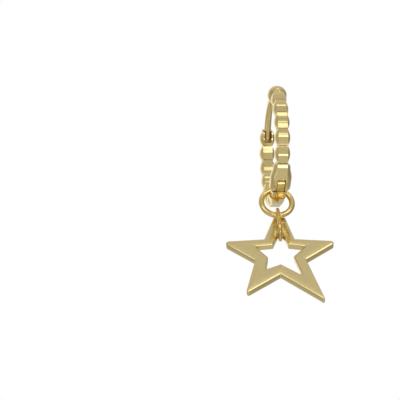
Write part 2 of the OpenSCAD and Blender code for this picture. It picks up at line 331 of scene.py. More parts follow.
def fork_size(s):
    """Half the fork's width, thickness and band, so far along from the last bead."""
    half_w = (JOINT_W / 2 + (NECK_W - JOINT_W) / 2 * smooth_step(s / NECK_LEN)
              + (FORK_W - NECK_W) / 2 * smooth_step((s - NECK_LEN) / FLARE_LEN))
    past_corner = s - (FORK_END - FORK_CORNER)
    if past_corner > 0:
        half_w -= FORK_CORNER - math.sqrt(max(FORK_CORNER ** 2 - past_corner ** 2, 0.0))
    grown = smooth_step(s / FORK_FILLS)
    half_t = JOINT_T / 2 + (BEAD_T - JOINT_T) / 2 * grown
    past_pin = s - FORK_LEN
    if past_pin > 0:
        half_t = math.sqrt(max((BEAD_T / 2) ** 2 - past_pin ** 2, FORK_LIP ** 2))
    half_band = BAND_W / 2 + (FORK_BAND - BAND_W / 2) * grown
    return half_w, half_t, min(half_band, half_w - LEAST_DOME)


print("the fork is", round(FORK_END, 2), "mm long, and its slot",
      round(FORK_END - SLOT_START, 2), "mm")

# %% Fork lofts
FORK_STATIONS, FORK_EASE = 16, 1.6
FORK_SHORT = 0.002  # so much before its end, where a section would have no size


def add_neck(loft):
    """The fork as far as its slot."""
    start = GROOVE / 2 * DEG_TO_MM
    rings = []
    for k in range(FORK_STATIONS + 1):
        s = start + (SLOT_START - start) * k / FORK_STATIONS
        rings.append(ring_at(FORK_START + s / DEG_TO_MM, mirrored(side_points(*fork_size(s)))))
    loft.add(rings)


def add_cheeks(loft):
    """Both cheeks, with stations that crowd together towards their round ends."""
    count = 2 * FORK_STATIONS
    for sign in (1, -1):
        rings = []
        for k in range(count + 1):
            eased = 1 - (1 - k / count) ** FORK_EASE
            s = SLOT_START + (FORK_END - FORK_SHORT - SLOT_START) * eased
            outer = side_points(*fork_size(s))
            cheek = outer + [(SLOT_W / 2, y) for x, y in reversed(outer)]
            rings.append(ring_at(FORK_START + s / DEG_TO_MM,
                                 [(sign * x, y) for x, y in cheek[::sign]]))
        loft.add(rings)


print("the neck has", FORK_STATIONS + 1, "stations and a cheek", 2 * FORK_STATIONS + 1)

# %% [markdown]
# ## The post
#
# The post is the wire that goes through the ear. It leaves the top bead slim and thickens towards
# its end, which snaps into the catch. A curve with a radius at each point would make it too. Lofted
# along the hoop's own arc it becomes part of the arm's mesh, as it is soldered to the real one, and
# its end can be rounded over, as the end of every ear wire is.

# %% Post
ROUND_END = 147.5  # the hoop angle of the ball that the post leaves
POST_D, POST_END_D, POST_END = 0.66, 0.86, 49.0
POST_NOSE, NOSE_TIP = 0.16, 0.1  # how long the rounding is, and the share of the radius at its tip
POST_SIDES, POST_STATIONS = 28, 120


def add_post(loft):
    rings = []
    for k in range(POST_STATIONS + 1):
        t = k / POST_STATIONS
        r = (POST_D + (POST_END_D - POST_D) * smooth_step(t)) / 2
        left = (1 - t) * abs(POST_END - ROUND_END) * DEG_TO_MM
        if left < POST_NOSE:
            r *= math.sqrt(max(1 - (1 - left / POST_NOSE) ** 2, NOSE_TIP ** 2))
        rings.append(ring_at(ROUND_END + (POST_END - ROUND_END) * t, circle(r, POST_SIDES)[::-1]))
    loft.add(rings, ends="flat")


print("the post is", round((ROUND_END - POST_END) * DEG_TO_MM, 1), "mm long along its arc")

# %% [markdown]
# ## The round end
#
# Where the post leaves it, the front arm ends in a ball a little wider than the beads, which keeps
# the ear lobe off them. A sphere object would do, but a loft of circles joins the same mesh, with
# its poles along the hoop, where the last bead and the post cover them.

# %% Round end
ROUND_END_D = 2.34
BALL_SIDES, BALL_STATIONS = 48, 24


def add_round_end(loft):
    centre, across = on_hoop(ROUND_END, 0, 0), Vector((1, 0, 0))
    out = on_hoop(ROUND_END, 0, 1) - centre
    along = out.cross(across)
    r = ROUND_END_D / 2
    rings = []
    for k in range(1, BALL_STATIONS):
        a = math.pi * k / BALL_STATIONS
        rings.append(wire_ring(centre + along * r * math.cos(a), out, across,
                               r * math.sin(a), BALL_SIDES))
    loft.add(rings, ends="flat")


print("the ball stands", round((ROUND_END_D - BEAD_W) / 2, 2), "mm proud of the beads at each side")

# %% [markdown]
# ## The front arm, one cast piece
#
# Ball, post, five beads and fork are one casting, so they go into one mesh, where they run into
# each other. A boolean could fuse them, but what lies inside the metal never shows, and the tidy
# rows of faces would go.

# %% Front arm
EDGE = 0.035

front = Loft()
for i in range(FRONT_BEADS):
    add_bead(front, FRONT_TOP + (i + 0.5) * PITCH)
add_core(front, ROUND_END, FORK_START + CORE_BURIED)
add_round_end(front)
add_neck(front)
add_cheeks(front)
add_post(front)
front_arm = front.make_piece("front_arm_gold", EDGE)

# %% [markdown]
# ## The back arm's hinge
#
# A tongue turns between the cheeks, and behind it a smooth shoulder swells to the first bead. The
# shoulder of a real hinge is filed hollow, to clear the round ends of the cheeks as they swing. A
# boolean could cut that hollow. Here the first ring of the shoulder follows it instead: each point
# starts where the hollow ends.

# %% Tongue
CATCH_TOP, BACK_PITCHES = 59.2, 7  # from catch to shoulder, whose bead takes up the first pitch
CATCH_START = CATCH_TOP - PITCH
SHOULDER_END = CATCH_START + 360 - BACK_PITCHES * PITCH
HINGE_GAP = 0.07
TONGUE_SUNK = 0.1  # how much thinner the tongue is than the cheeks
TONGUE_FAN = (2, 8, 14, 20, 26, 31)  # degrees round its end where a station stands
TONGUE_STATIONS, TONGUE_ROWS, TONGUE_SHORT = 12, 6, 2


def add_tongue(loft):
    half_w, half_t = SLOT_W / 2 - HINGE_GAP, (BEAD_T - TONGUE_SUNK) / 2
    end_r = SLOT_REACH - 2 * HINGE_GAP
    flat_from = -math.sqrt(end_r ** 2 - half_t ** 2)
    last = (SHOULDER_END - TONGUE_SHORT - PIVOT) * DEG_TO_MM
    stops = [-end_r * math.cos(math.radians(a)) for a in TONGUE_FAN]
    stops += [flat_from + (last - flat_from) * k / TONGUE_STATIONS
              for k in range(TONGUE_STATIONS + 1)]
    rings = []
    for s in stops:
        h = min(half_t, math.sqrt(max(end_r ** 2 - s * s, 0.0)) if s < 0 else half_t)
        right = [(half_w, h * (1 - 2 * i / TONGUE_ROWS)) for i in range(TONGUE_ROWS + 1)]
        rings.append(ring_at(PIVOT + s / DEG_TO_MM, mirrored(right)))
    loft.add(rings)


print("the tongue is", round(SLOT_W - 2 * HINGE_GAP, 2), "mm wide in a slot of", SLOT_W, "mm")

# %% Shoulder
SHOULDER_W, HOLLOW_ROOM = 1.9, 0.03
HOLLOW_R = BEAD_T / 2 + HINGE_GAP + HOLLOW_ROOM
SHOULDER_STATIONS = 12


def add_shoulder(loft):
    """A smooth drum from the hollow to the middle of a bead, and the far half of that bead."""
    last = (SHOULDER_END + PITCH / 2 - PIVOT) * DEG_TO_MM
    section = mirrored(side_points(SHOULDER_W / 2, BEAD_T / 2, BAND_W / 2))
    rings = []
    for k in range(SHOULDER_STATIONS):
        ring = []
        for x, y in section:
            rim = math.sqrt(max(HOLLOW_R ** 2 - y * y, 0.0))
            s = rim + (last - rim) * k / SHOULDER_STATIONS
            ring.append(on_hoop(PIVOT + s / DEG_TO_MM, x, y))
        rings.append(ring)
    for k in range(BEAD_STATIONS // 2 + 1):
        a = (PITCH - GROOVE) * k / BEAD_STATIONS
        rings.append(ring_at(SHOULDER_END + PITCH / 2 + a, bead_section(a * DEG_TO_MM)))
    loft.add(rings)


print("the hollow clears the cheeks by", round(HOLLOW_R - BEAD_T / 2, 2), "mm")

# %% [markdown]
# ## The catch
#
# The last bead of the back arm is the catch. It is open at its top and on the inside, and the
# post's thick end snaps between the two horns that stay. The slot could be cut with a boolean.
# Drawn into the sections, its walls are part of the same loft as the bead's outside. The two lips at
# its mouth stand a little nearer to each other than the walls, as the grip of a real catch does,
# and give each horn an edge that catches the light.

# %% Catch
CATCH_GAP, CATCH_WALL, CATCH_LIP = 0.06, 0.34, 0.04
SLOT_PAST_POST = 2.5  # degrees of slot beyond the post's end
CLOSED_STATIONS = 5


def add_catch(loft):
    middle, half = CATCH_START + PITCH / 2, (PITCH - GROOVE) / 2
    slot, floor = POST_END_D / 2 + CATCH_GAP, BEAD_T / 2 - CATCH_WALL
    slot_from = POST_END - SLOT_PAST_POST - middle
    loft.add([ring_at(middle + a, bead_section(a * DEG_TO_MM))
              for a in (-half + (slot_from + half) * k / CLOSED_STATIONS
                        for k in range(CLOSED_STATIONS + 1))])
    rings = []
    for k in range(BEAD_STATIONS + 1):
        a = slot_from + (half - slot_from) * k / BEAD_STATIONS
        section = bead_section(a * DEG_TO_MM)
        right, left = section[:len(section) // 2], section[len(section) // 2:]
        low = right[-1][1]
        wall = [(slot - CATCH_LIP, low), (slot, (low + floor) / 2), (slot, floor)]
        far_wall = [(-x, y) for x, y in reversed(wall)]
        rings.append(ring_at(middle + a, right + wall + far_wall + left))
    loft.add(rings, ends="flat")


print("the catch's slot is", round(POST_END_D + 2 * CATCH_GAP, 2), "mm wide")

# %% [markdown]
# ## The back arm, one cast piece
#
# Tongue, shoulder, six beads and catch are the other casting, gathered in the same way. Its core
# starts inside the shoulder and ends inside the catch, so neither end of it shows.

# %% Back arm
back = Loft()
add_tongue(back)
add_shoulder(back)
for i in range(1, BACK_PITCHES):
    add_bead(back, SHOULDER_END + (i + 0.5) * PITCH)
add_core(back, SHOULDER_END - CORE_BURIED, CATCH_START + 360 + CORE_BURIED)
add_catch(back)
back_arm = back.make_piece("back_arm_gold", EDGE)

# %% [markdown]
# ## The rivet
#
# The hinge turns on a rivet whose heads are filed flush with the cheeks and polished over. A
# slightly domed head in a fine ring of shadow is what the eye finds on a real hinge. A cylinder
# would keep flat heads, so the rivet is turned from a short table, as on a lathe.

# %% Hinge pin
PIN_D, PIN_SUNK, PIN_SIDES = 0.46, 0.08, 32
PIN_HEAD = ((-0.05, 1.0), (0.0, 0.86), (0.02, 0.5))  # how far out, and the share of the radius


def add_rivet(loft):
    half = FORK_W / 2 - PIN_SUNK
    profile = [(half + past, share) for past, share in PIN_HEAD]
    profile = [(-x, share) for x, share in reversed(profile)] + profile
    loft.add([wire_ring(on_hoop(PIVOT, x, 0), Vector((0, 1, 0)), Vector((0, 0, 1)),
                        PIN_D / 2 * share, PIN_SIDES) for x, share in profile], ends="flat")


rivet = Loft()
add_rivet(rivet)
hinge_pin = rivet.make_piece("hinge_rivet", 0)

# %% [markdown]
# ## The jump ring
#
# The ring is round wire, soldered shut, and hangs in a groove of the back arm with its foot a
# little to the back. A torus from the Add menu would be as round, but it would have to be moved into
# place. Here its top is set by the groove and a hair of room, and the rest of it follows.

# %% Where the ring hangs
def polar(a, r):
    """A flat vector from an angle and a length."""
    return Vector((r * math.cos(math.radians(a)), r * math.sin(math.radians(a))))


def in_hoop_plane(p, across=0.0):
    """A [y, z] place measured from the hoop's middle, as a point."""
    return HOOP_MIDDLE + Vector((across, p[0], p[1]))


RING_D, RING_WIRE, RING_LEAN, RING_SEAT = 3.74, 0.7, 4.6, 0.08
RING_R = RING_D / 2
ring_down = polar(-90 + RING_LEAN, 1)
ring_top = polar(SHOULDER_END + PITCH, HOOP_R - JOINT_T / 2 - RING_WIRE / 2 - RING_SEAT)
ring_middle = ring_top + RING_R * ring_down
ring_foot = ring_middle + RING_R * ring_down
print("the ring's foot is", round(ring_foot.length, 2), "mm from the hoop's middle")

# %% Jump ring
RING_STATIONS, WIRE_SIDES = 96, 28

ring_loft = Loft()
ring_normal = Vector((0, -ring_down[1], ring_down[0]))
rings = []
for k in range(RING_STATIONS):
    a = 2 * math.pi * k / RING_STATIONS
    out = Vector((math.sin(a), ring_down[0] * math.cos(a), ring_down[1] * math.cos(a)))
    rings.append(wire_ring(in_hoop_plane(ring_middle) + RING_R * out, out, ring_normal,
                           RING_WIRE / 2, WIRE_SIDES))
ring_loft.add(rings, ends="none", closed=True)
jump_ring = ring_loft.make_piece("jump_ring_gold", 0)

# %% [markdown]
# ## Where the charm hangs
#
# The link is a long loop that holds the ring's wire at its top and the star's top arm at its foot.
# All three were bent and soldered round each other, so their places are worked out from each
# other: the wire thicknesses, the star's own thickness, and a hair of room between them. Places
# typed by eye would touch or float as soon as one size changed.

# %% The star's frame
LINK_WIRE, LINK_GAP_W, LINK_SEAT, LINK_PLAY = 0.48, 1.96, 0.05, 0.03
STAR_REACH, STAR_T, STAR_SEAT, STAR_EDGE = 9.9, 0.9, 0.16, 0.2
STAR_LEAN, STAR_TURN, CHARM_TURN = 7.2, -6.0, -7.0
TOP_LEFT = (97.9, 0.763)  # a corner's direction, and its share of the star's reach
OPENING_ANGLE, OPENING_TOP, OPENING_HALF_ANGLE, OPENING_TILT = 92.7, 0.539, 19.5, 2.2

star_front = RING_WIRE / 2 + STAR_SEAT
star_back = star_front + STAR_T
link_r = (LINK_GAP_W + LINK_WIRE) / 2
link_hold = LINK_GAP_W / 2 - RING_WIRE / 2 - LINK_SEAT
link_w = (star_back + LINK_SEAT - LINK_GAP_W / 2 + link_hold) / 2
link_top = -math.sqrt(link_hold ** 2 - link_w ** 2)
star_top = (link_top + math.sqrt((LINK_GAP_W / 2) ** 2 - (star_back - link_w) ** 2)
            - LINK_SEAT + STAR_EDGE)
link_room = (LINK_WIRE / 2 + LINK_SEAT) / math.sin(math.radians(OPENING_HALF_ANGLE)) + LINK_PLAY
link_rest = (polar(OPENING_ANGLE, OPENING_TOP * STAR_REACH)
             + polar(-90 + OPENING_TILT, link_room))
print("the star's top is", round(star_top, 2), "mm above the ring's lowest wire")


# %% Points of the charm
def turned(p, a):
    """A flat vector, turned by an angle."""
    c, s = math.cos(math.radians(a)), math.sin(math.radians(a))
    return Vector((p[0] * c - p[1] * s, p[0] * s + p[1] * c))


def corner_at(row):
    """A corner of the star, turned about the place where the link's wire rests."""
    p = turned(polar(row[0], row[1] * STAR_REACH) - link_rest, STAR_TURN)
    return Vector((p[0], p[1] + link_rest[1]))


def in_star_frame(across, w, v):
    """w points back from the ring's lowest wire, and v up the star, whose foot leans forward."""
    back, up = turned((w, v), -STAR_LEAN)
    side, back = turned((across, back), CHARM_TURN)
    return in_hoop_plane(ring_foot + Vector((back, up)), side)


star_zero = star_top - corner_at(TOP_LEFT)[1]
link_foot = star_zero + link_rest[1] + math.sqrt(link_r ** 2 - (star_back - link_w) ** 2)
print("the link's bends are", round(abs(link_top - link_foot), 2), "mm apart")

# %% [markdown]
# ## The link
#
# The link is a loop of finer wire: two half circles and the straights between them. It lies in the
# hoop's plane, so the camera sees it edge-on, as one slim bright line. A curve object would need the
# same stops along the loop, so they are made here as pairs of height and turn, and lofted.

# %% Link
BEND_STEPS, STRAIGHT_STEPS = 28, 4


def bend(v, start):
    """The stops of a half circle at one height, from a starting turn."""
    return [(v, start + 180 * k / BEND_STEPS) for k in range(BEND_STEPS + 1)]


def straight(v0, v1, turn):
    """The stops between two bends."""
    return [(v0 + (v1 - v0) * k / STRAIGHT_STEPS, turn) for k in range(1, STRAIGHT_STEPS)]


across = in_star_frame(1, 0, 0) - in_star_frame(0, 0, 0)
rings = []
for v, turn in (bend(link_top, 0) + straight(link_top, link_foot, 180)
                + bend(link_foot, 180) + straight(link_foot, link_top, 360)):
    d = polar(turn, 1)
    centre = in_star_frame(0, link_w + link_r * d[0], v + link_r * d[1])
    out = in_star_frame(0, d[0], d[1]) - in_star_frame(0, 0, 0)
    rings.append(wire_ring(centre, out, across, LINK_WIRE / 2, WIRE_SIDES))
link_loft = Loft()
link_loft.add(rings, ends="none", closed=True)
link = link_loft.make_piece("link_gold", 0)

# %% [markdown]
# ## The star's outlines
#
# The star is cut from thick sheet, with an opening of the same form. Its arms are unequal on
# purpose, so a star made by turning one arm five times wouldn't do. Both outlines are short tables
# of corners: a direction, a share of the longest reach and a radius. The corners that point inwards
# have a small radius too, as a needle file leaves them.

# %% Star tables
SIDE_TIP_R, LOW_TIP_R, LONG_TIP_R, TOP_TIP_R, NOTCH_R = 0.36, 0.24, 0.14, 0.26, 0.12
OPENING_R, OPENING_TOP_R = 0.1, 0.03
STAR_OUTLINE = (
    (87.6, 0.757, TOP_TIP_R), (*TOP_LEFT, TOP_TIP_R), (119.8, 0.430, NOTCH_R),
    (155.6, 0.808, SIDE_TIP_R), (177.4, 0.317, NOTCH_R), (232.5, 0.682, LOW_TIP_R),
    (268.3, 0.217, NOTCH_R), (309.4, 0.839, LONG_TIP_R), (365.1, 0.297, NOTCH_R),
    (386.6, 0.760, SIDE_TIP_R), (427.7, 0.408, NOTCH_R),
)
STAR_OPENING = (
    (91.9, 0.5185, OPENING_TOP_R), (93.5, 0.519, OPENING_TOP_R), (111.0, 0.297, OPENING_R),
    (141.9, 0.403, OPENING_R), (157.8, 0.175, OPENING_R), (216.4, 0.225, OPENING_R),
    (264.0, 0.051, OPENING_R), (316.9, 0.345, OPENING_R), (388.2, 0.164, OPENING_R),
    (401.3, 0.374, OPENING_R), (434.5, 0.291, OPENING_R),
)
print("the star has", len(STAR_OUTLINE), "corners outside and", len(STAR_OPENING), "inside")

# %% Rounded outlines
ARC_STEPS, SHARPEST_R = 10, 0.01
EDGE_STOPS = (0.25, 0.5, 0.75)


def corner_arc(before, at, after, r):
    """The points of an arc that rounds a corner."""
    to_before, to_after = (before - at).normalized(), (after - at).normalized()
    half = math.acos(to_before.dot(to_after)) / 2
    middle = at + (to_before + to_after).normalized() * r / math.sin(half)
    start, end = at + to_before * r / math.tan(half), at + to_after * r / math.tan(half)
    a0 = math.atan2(start[1] - middle[1], start[0] - middle[0])
    turn = math.atan2(end[1] - middle[1], end[0] - middle[0]) - a0
    turn = (turn + math.pi) % (2 * math.pi) - math.pi
    angles = [a0 + turn * i / ARC_STEPS for i in range(ARC_STEPS + 1)]
    return [middle + r * Vector((math.cos(a), math.sin(a))) for a in angles]


def moved(points, d):
    """The corners moved square to their edges, inwards if d is positive."""
    n, out = len(points), []
    for i in range(n):
        e0 = (points[i] - points[i - 1]).normalized()
        e1 = (points[(i + 1) % n] - points[i]).normalized()
        n0, n1 = Vector((-e0[1], e0[0])), Vector((-e1[1], e1[0]))
        m = (n0 + n1).normalized()
        out.append(points[i] + m * d / m.dot(n0))
    return out


def outline(rows, d=0.0):
    """The whole outline moved by d, with a few points along each straight stretch."""
    n = len(rows)
    corners = moved([corner_at(row) for row in rows], d)
    arcs = []
    for i in range(n):
        before, at, after = corners[i - 1], corners[i], corners[(i + 1) % n]
        bent = math.copysign(1, (at - before).cross(after - at))
        arcs.append(corner_arc(before, at, after, max(rows[i][2] - bent * d, SHARPEST_R)))
    points = []
    for i in range(n):
        points.extend(arcs[i])
        start, end = arcs[i][-1], arcs[(i + 1) % n][0]
        points.extend(start.lerp(end, t) for t in EDGE_STOPS)
    return points


print("an outline has", len(outline(STAR_OUTLINE)), "points")

# %% [markdown]
# ## The star's rolled edges
#
# Polishing rolls the sheet's edges over, and that roll is the bright line round the star. The Bevel
# modifier would give a plain quarter round, whose highlight is a hair. So the edge is a soft bevel,
# a table of narrow cuts that lean further and further from the face, and most of its width leans
# about 30 degrees. Each cut's loop is the outline, moved inwards.

# %% Star mesh
EDGE_CUTS = ((6, 0.02), (16, 0.02), (25, 0.03), (29, 0.05),  # degrees from the face, and width
             (32, 0.05), (37, 0.03), (55, 0.03), (75, 0.03))

rolled = sum(wide * math.sin(math.radians(slope)) for slope, wide in EDGE_CUTS)
profile = [(0.0, STAR_T / 2 - rolled)]
for slope, wide in reversed(EDGE_CUTS):
    inward, depth = profile[-1]
    profile.append((inward + wide * math.cos(math.radians(slope)),
                    depth + wide * math.sin(math.radians(slope))))
print("the star's edge reaches", round(profile[-1][0], 3), "mm in from its outline")

loops = [(outline(STAR_OUTLINE, inward), -depth) for inward, depth in profile[::-1]]
loops += [(outline(STAR_OUTLINE, inward), depth) for inward, depth in profile]
loops += [(outline(STAR_OPENING, -inward), depth) for inward, depth in profile[::-1]]
loops += [(outline(STAR_OPENING, -inward), -depth) for inward, depth in profile]
star_mid = (star_front + star_back) / 2
star_loft = Loft()
star_loft.add([[in_star_frame(p[0], star_mid + depth, star_zero + p[1]) for p in points]
               for points, depth in loops], ends="none", closed=True)
star = star_loft.make_piece("star_gold", 0)

# %% [markdown]
# ## Faces that point outwards
#
# The lofts were wound in both directions, and metal whose faces point inwards shades wrongly. Each
# could be wound with care, but one call makes every mesh consistent. Edges sharper than the angle
# below then stay crisp, and everything else is shaded smooth, as polished metal is.

# %% Settle the normals
import bmesh

CRISP_FROM = 32


def settle_normals(obj):
    work = bmesh.new()
    work.from_mesh(obj.data)
    bmesh.ops.recalc_face_normals(work, faces=work.faces)
    work.to_mesh(obj.data)
    work.free()
    obj.data.set_sharp_from_angle(angle=math.radians(CRISP_FROM))


for obj in (front_arm, back_arm, hinge_pin, jump_ring, link, star):
    settle_normals(obj)
    print(obj.name, "is crisp at edges over", CRISP_FROM, "degrees")

# %% [markdown]
# ## Helpers for shader nodes
#
# A finish is a tree of nodes, and each is made by the same few lines: create it, say what it does,
# and give every socket a number or another node's output. They can be placed by hand in the Shader
# Editor. Made by these helpers, a finish reads from top to bottom.

# %% Node helpers
def feed(tree, socket, value):
    """Joins another node's output to a socket, or sets a plain value on it."""
    if isinstance(value, bpy.types.NodeSocket):
        tree.links.new(value, socket)
    else:
        socket.default_value = value


def add_node(tree, kind, sockets, **settings):
    """A new node with its settings made first, because they decide which sockets it has."""
    node = tree.nodes.new(kind)
    for name, value in settings.items():
        setattr(node, name, value)
    for name, value in sockets.items():
        feed(tree, node.inputs[name], value)
    return node


def math_step(tree, operation, *values):
    """One step of arithmetic."""
    sockets = dict(enumerate(values))
    return add_node(tree, "ShaderNodeMath", sockets, operation=operation).outputs["Value"]


def mix_colors(tree, amount, under, over):
    """Lays one colour over another by an amount."""
    sockets = {"Factor": amount, "A": under, "B": over}
    return add_node(tree, "ShaderNodeMix", sockets, data_type="RGBA").outputs["Result"]


def noise(tree, place, scale, detail):
    """Soft cloudy noise. A scale of 1000 makes clouds of about a millimetre."""
    sockets = {"Vector": place, "Scale": scale, "Detail": detail}
    return add_node(tree, "ShaderNodeTexNoise", sockets).outputs["Fac"]


print("helpers:", [helper.__name__ for helper in (feed, add_node, math_step, mix_colors, noise)])

# %% [markdown]
# ## Polished gold
#
# Gold has no colour of its own under its polish: it tints what it reflects, and what bounces
# between two gold faces is tinted twice, which is why the hollows turn orange. So the base colour
# is pale, the metal is full, and the work is in the polish. Photographs of scratches could be laid
# over it, but they would show their grain up close. A shader group gives every piece the same traces
# of the workshop instead, and painted shade in its hollows, each with its own amounts, and puts out
# a colour, a roughness and a normal.

# %% Polish group: what goes in and out
# Deep is the alloy's deeper tone in the haze, and also the colour of the painted shade in hollows.
INPUTS = {"Pale": (0.86, 0.70, 0.33, 1), "Deep": (0.78, 0.58, 0.22, 1), "Gloss": 0.1, "Haze": 0.08,
          "Ripple": 0.05, "Hairlines": 0.04, "Wear": 0.5, "Hollows": 0.5}
OUTPUTS = {"Color": "NodeSocketColor", "Roughness": "NodeSocketFloat", "Normal": "NodeSocketVector"}

polish = bpy.data.node_groups.new("polish with painted hollow shade", "ShaderNodeTree")
for name, value in INPUTS.items():
    kind = "NodeSocketColor" if isinstance(value, tuple) else "NodeSocketFloat"
    polish.interface.new_socket(name, in_out="INPUT", socket_type=kind).default_value = value
for name, kind in OUTPUTS.items():
    polish.interface.new_socket(name, in_out="OUTPUT", socket_type=kind)
given = polish.nodes.new("NodeGroupInput").outputs
result = polish.nodes.new("NodeGroupOutput").inputs
place = polish.nodes.new("ShaderNodeTexCoord").outputs["Object"]
print("the polish takes", len(polish.interface.items_tree), "inputs and outputs")

# %% [markdown]
# ### Worn edges, dull hollows and painted shade
#
# Wear rubs the edges paler and smoother, and the wheel can't reach the hollows, which stay duller.
# The hollows are also painted deeper in colour, as painted shade. Both could be painted by hand on
# each piece. Two masks find them by themselves: an edge is where the normal of a softened surface
# departs from the true one, and a hollow is where little of the sky is in sight. Both hold at every
# pose and from every side.

# %% Polish group: edges and hollows
EDGE_REACH, HOLLOW_REACH = 0.00005, 0.0005  # metres, as shaders measure
EDGE_SAMPLES, SKY_SAMPLES = 4, 6
EDGE_FROM, EDGE_FULL = 0.99, 0.85  # how well the two normals agree where wear starts and is full

sky = add_node(polish, "ShaderNodeAmbientOcclusion", {"Distance": HOLLOW_REACH},
               samples=SKY_SAMPLES).outputs["AO"]
# Little sky in sight: this mask paints shade into the colour and makes the roughness duller.
hollow = math_step(polish, "MULTIPLY", math_step(polish, "SUBTRACT", 1, sky), given["Hollows"])
softened = add_node(polish, "ShaderNodeBevel", {"Radius": EDGE_REACH}, samples=EDGE_SAMPLES)
surface = polish.nodes.new("ShaderNodeNewGeometry")
agree = add_node(polish, "ShaderNodeVectorMath",
                 {0: softened.outputs["Normal"], 1: surface.outputs["Normal"]},
                 operation="DOT_PRODUCT").outputs["Value"]
sharp = add_node(polish, "ShaderNodeMapRange",
                 {"Value": agree, "From Min": EDGE_FROM, "From Max": EDGE_FULL,
                  "To Min": 0, "To Max": 1},
                 interpolation_type="SMOOTHSTEP").outputs["Result"]
worn = math_step(polish, "MULTIPLY", math_step(polish, "MULTIPLY", sharp, sky), given["Wear"])
print("wear reaches", 1000 * EDGE_REACH, "mm and a hollow", 1000 * HOLLOW_REACH, "mm")

# %% [markdown]
# ### Colour and haze
#
# No polish is even: a faint haze comes and goes over a few millimetres, and the alloy looks a
# little deeper in it. One cloudy noise drives both, because on real metal they come together. The
# hollows then dull the finish and darken its colour as painted shade, and the worn edges brighten
# it.

# %% Polish group: colour and roughness
CLOUD_SCALE, CLOUD_DETAIL = 260, 3
HOLLOW_DULLS, WEAR_SMOOTHS = 0.7, 0.5

cloud = noise(polish, place, CLOUD_SCALE, CLOUD_DETAIL)
color = mix_colors(polish, cloud, given["Pale"], given["Deep"])
# Painted shade: the hollows are mixed towards the deep colour.
color = mix_colors(polish, hollow, color, given["Deep"])
color = mix_colors(polish, worn, color, given["Pale"])
feed(polish, result["Color"], color)

hazy = math_step(polish, "MULTIPLY_ADD", cloud, given["Haze"], given["Gloss"])
dulled = math_step(polish, "MULTIPLY_ADD", hollow, HOLLOW_DULLS, hazy)
rubbed = math_step(polish, "MULTIPLY_ADD", worn, -WEAR_SMOOTHS, 1)
feed(polish, result["Roughness"], math_step(polish, "MULTIPLY", dulled, rubbed))
print("the haze's clouds are about", round(1000 / CLOUD_SCALE, 1), "mm wide")

# %% [markdown]
# ### Ripple and hairlines
#
# The buffing wheel leaves a faint ripple, and wear leaves hairlines that run one way. The mesh could
# carry them only with millions of faces, so they are bump: the first bump's normal goes into the
# second, so both show. The hairlines are noise squeezed far more in two directions than in a third.

# %% Polish group: surface
WHEEL_SCALE, WHEEL_DETAIL, WHEEL_DEPTH = 700, 1, 0.0001
LINE_SQUEEZE, LINE_DETAIL, LINE_DEPTH = (1200, 9000, 14000), 2, 0.00002

ripple = add_node(polish, "ShaderNodeBump",
                  {"Distance": WHEEL_DEPTH, "Strength": given["Ripple"],
                   "Height": noise(polish, place, WHEEL_SCALE, WHEEL_DETAIL)})
squeezed = add_node(polish, "ShaderNodeMapping", {"Scale": LINE_SQUEEZE, "Vector": place})
scratch = add_node(polish, "ShaderNodeBump",
                   {"Distance": LINE_DEPTH, "Strength": given["Hairlines"],
                    "Height": noise(polish, squeezed.outputs["Vector"], 1, LINE_DETAIL),
                    "Normal": ripple.outputs["Normal"]})
feed(polish, result["Normal"], scratch.outputs["Normal"])
print("the polish group has", len(polish.nodes), "nodes")

# %% [markdown]
# ## Five golds
#
# Castings, rivet, wires and sheet are one alloy, but each was worked in another way. The ring takes
# the brightest polish, rivet and sheet are a little softer, and the link's colours are set deeper,
# as painted shade for the shadow of ring and star and the gold light they throw on it. One material
# for all would be simpler, but then nothing would set the pieces apart. The group stands in each
# material with its own values.

# %% Gold materials
def gold(name, **amounts):
    """A gold with the polish group's inputs by name. A colour is given as red, green and blue."""
    material = bpy.data.materials.new(name)
    material.use_nodes = True
    tree = material.node_tree
    shader = tree.nodes["Principled BSDF"]
    shader.inputs["Metallic"].default_value = 1.0
    touch = tree.nodes.new("ShaderNodeGroup")
    touch.node_tree = polish
    for socket, value in amounts.items():
        touch.inputs[socket].default_value = (*value, 1) if isinstance(value, tuple) else value
    for output, socket in (("Color", "Base Color"), ("Roughness", "Roughness"),
                           ("Normal", "Normal")):
        tree.links.new(touch.outputs[output], shader.inputs[socket])
    print("made", name, "with gloss", amounts["Gloss"])
    return material


# The Hollows amount sets the painted shade in the hollows and their duller polish.
hoop_gold = gold("hoop gold", Pale=(0.86, 0.70, 0.34), Deep=(0.82, 0.64, 0.28), Gloss=0.10,
                 Haze=0.08, Ripple=0.05, Hairlines=0.04, Wear=0.6, Hollows=0.6)
pin_gold = gold("pin gold", Pale=(0.84, 0.67, 0.31), Deep=(0.78, 0.60, 0.25), Gloss=0.14,
                Haze=0.10, Ripple=0.05, Hairlines=0.05, Wear=0.6, Hollows=0.6)
ring_gold = gold("ring gold", Pale=(0.90, 0.72, 0.32), Deep=(0.85, 0.65, 0.26), Gloss=0.08,
                 Haze=0.08, Ripple=0.05, Hairlines=0.04, Wear=0.6, Hollows=0.6)
# The link's deeper colours are painted shade, for the shadow and gold light of ring and star.
link_gold = gold("link gold with painted shade", Pale=(0.84, 0.62, 0.24), Deep=(0.78, 0.54, 0.18), Gloss=0.10,
                 Haze=0.08, Ripple=0.05, Hairlines=0.04, Wear=0.6, Hollows=0.6)
star_gold = gold("star gold", Pale=(0.86, 0.71, 0.36), Deep=(0.82, 0.65, 0.30), Gloss=0.14,
                 Haze=0.08, Ripple=0.03, Hairlines=0.02, Wear=0.6, Hollows=0.6)
